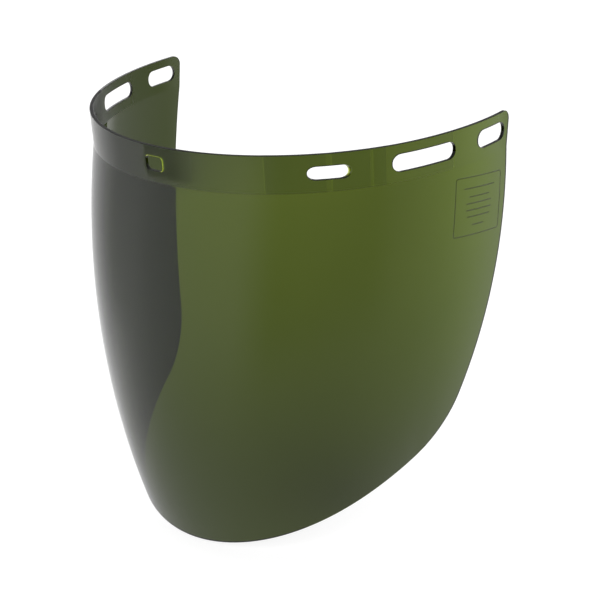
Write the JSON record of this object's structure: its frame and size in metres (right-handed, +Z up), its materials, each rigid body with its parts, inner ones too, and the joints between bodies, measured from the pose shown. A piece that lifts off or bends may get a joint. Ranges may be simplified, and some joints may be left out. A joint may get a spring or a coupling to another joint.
{
  "type": "face shield window",
  "caption": "Tinted moulded face shield window with a slotted upper band, bowed round the face and bulged down to a rounded chin.",
  "frame": {"origin": "on the axis of the rim's front arc, level with the flat top edge, where the headgear's centre goes", "axes": "+X to the wearer's left, +Y back to the wearer, +Z up"},
  "size_m": [0.2432, 0.1568, 0.2284],
  "materials": {
    "tinted_plastic": "gloss"
  },
  "bodies": {
    "root": {"window": "tinted_plastic"}
  },
  "joints": []
}
